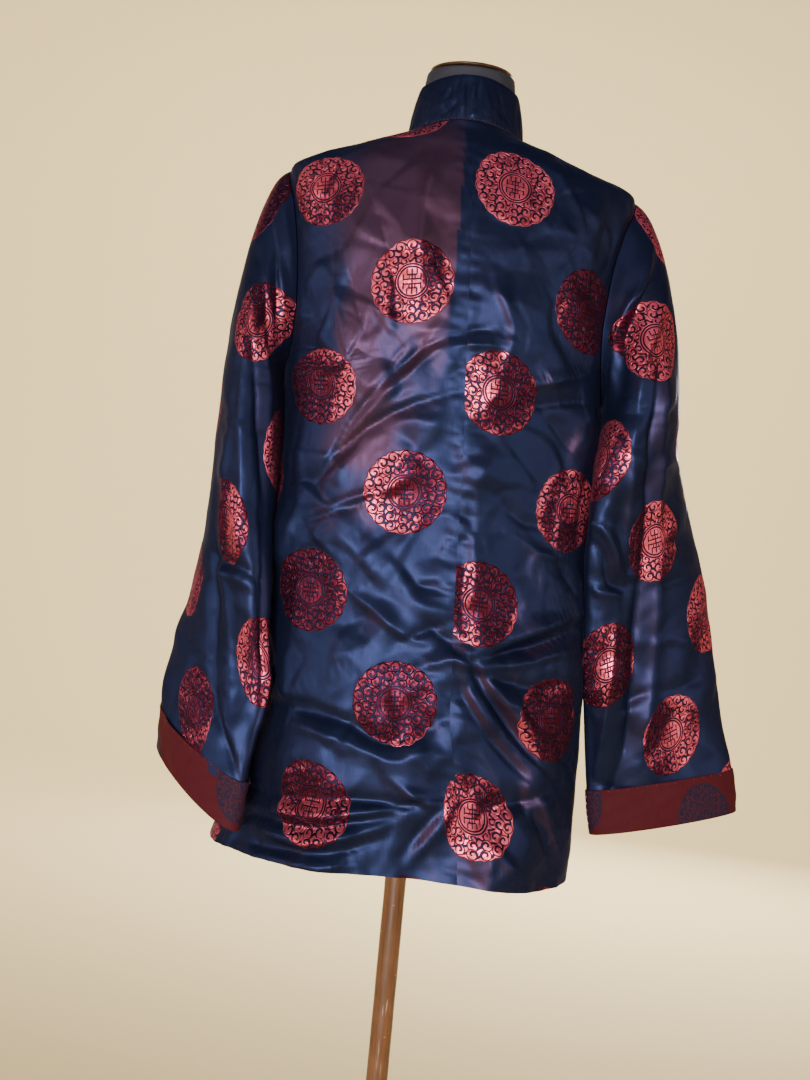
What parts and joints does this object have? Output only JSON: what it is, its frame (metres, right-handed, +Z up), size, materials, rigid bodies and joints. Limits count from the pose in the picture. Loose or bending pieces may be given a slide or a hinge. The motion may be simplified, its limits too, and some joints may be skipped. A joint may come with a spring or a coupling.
{
  "type": "tang jacket on a dress form with a stand",
  "caption": "Stand-collar tang jacket of medallion brocade with long sleeves and turned-back cuffs, worn by a limbless dress form on a round wooden pole and a turned foot.",
  "frame": {"origin": "on the pole's axis at the underside of the foot, where it stands on the floor", "axes": "+Z up along the pole; -Y the way the wearer faces, so the jacket's back is on the +Y side; +X the wearer's left"},
  "size_m": [0.652, 0.37, 1.4943],
  "materials": {
    "brocade": "shot satin brocade, navy with brick-red medallions",
    "reverse": "matte reverse of the brocade, dark red-brown",
    "navy_satin": "plain navy satin",
    "form_cover": "matte grey-navy woven cover",
    "wood": "worn brown varnish",
    "dark_metal": "dark painted casting"
  },
  "bodies": {
    "root": {"back_left": "brocade", "back_right": "brocade", "base": "dark_metal", "collar": "navy_satin", "cuff_left": "reverse", "cuff_right": "reverse", "frog_ball_1": "navy_satin", "frog_ball_2": "navy_satin", "frog_ball_3": "navy_satin", "frog_ball_4": "navy_satin", "frog_ball_5": "navy_satin", "frog_ball_6": "navy_satin", "frog_knot_1": "navy_satin", "frog_knot_2": "navy_satin", "frog_knot_3": "navy_satin", "frog_knot_4": "navy_satin", "frog_knot_5": "navy_satin", "frog_knot_6": "navy_satin", "frog_loop_1": "navy_satin", "frog_loop_2": "navy_satin", "frog_loop_3": "navy_satin", "frog_loop_4": "navy_satin", "frog_loop_5": "navy_satin", "frog_loop_6": "navy_satin", "front_left": "brocade", "front_right": "brocade", "neck_cap": "wood", "pole": "wood", "sleeve_left": "brocade", "sleeve_right": "brocade", "socket": "dark_metal", "torso": "form_cover"}
  },
  "joints": []
}
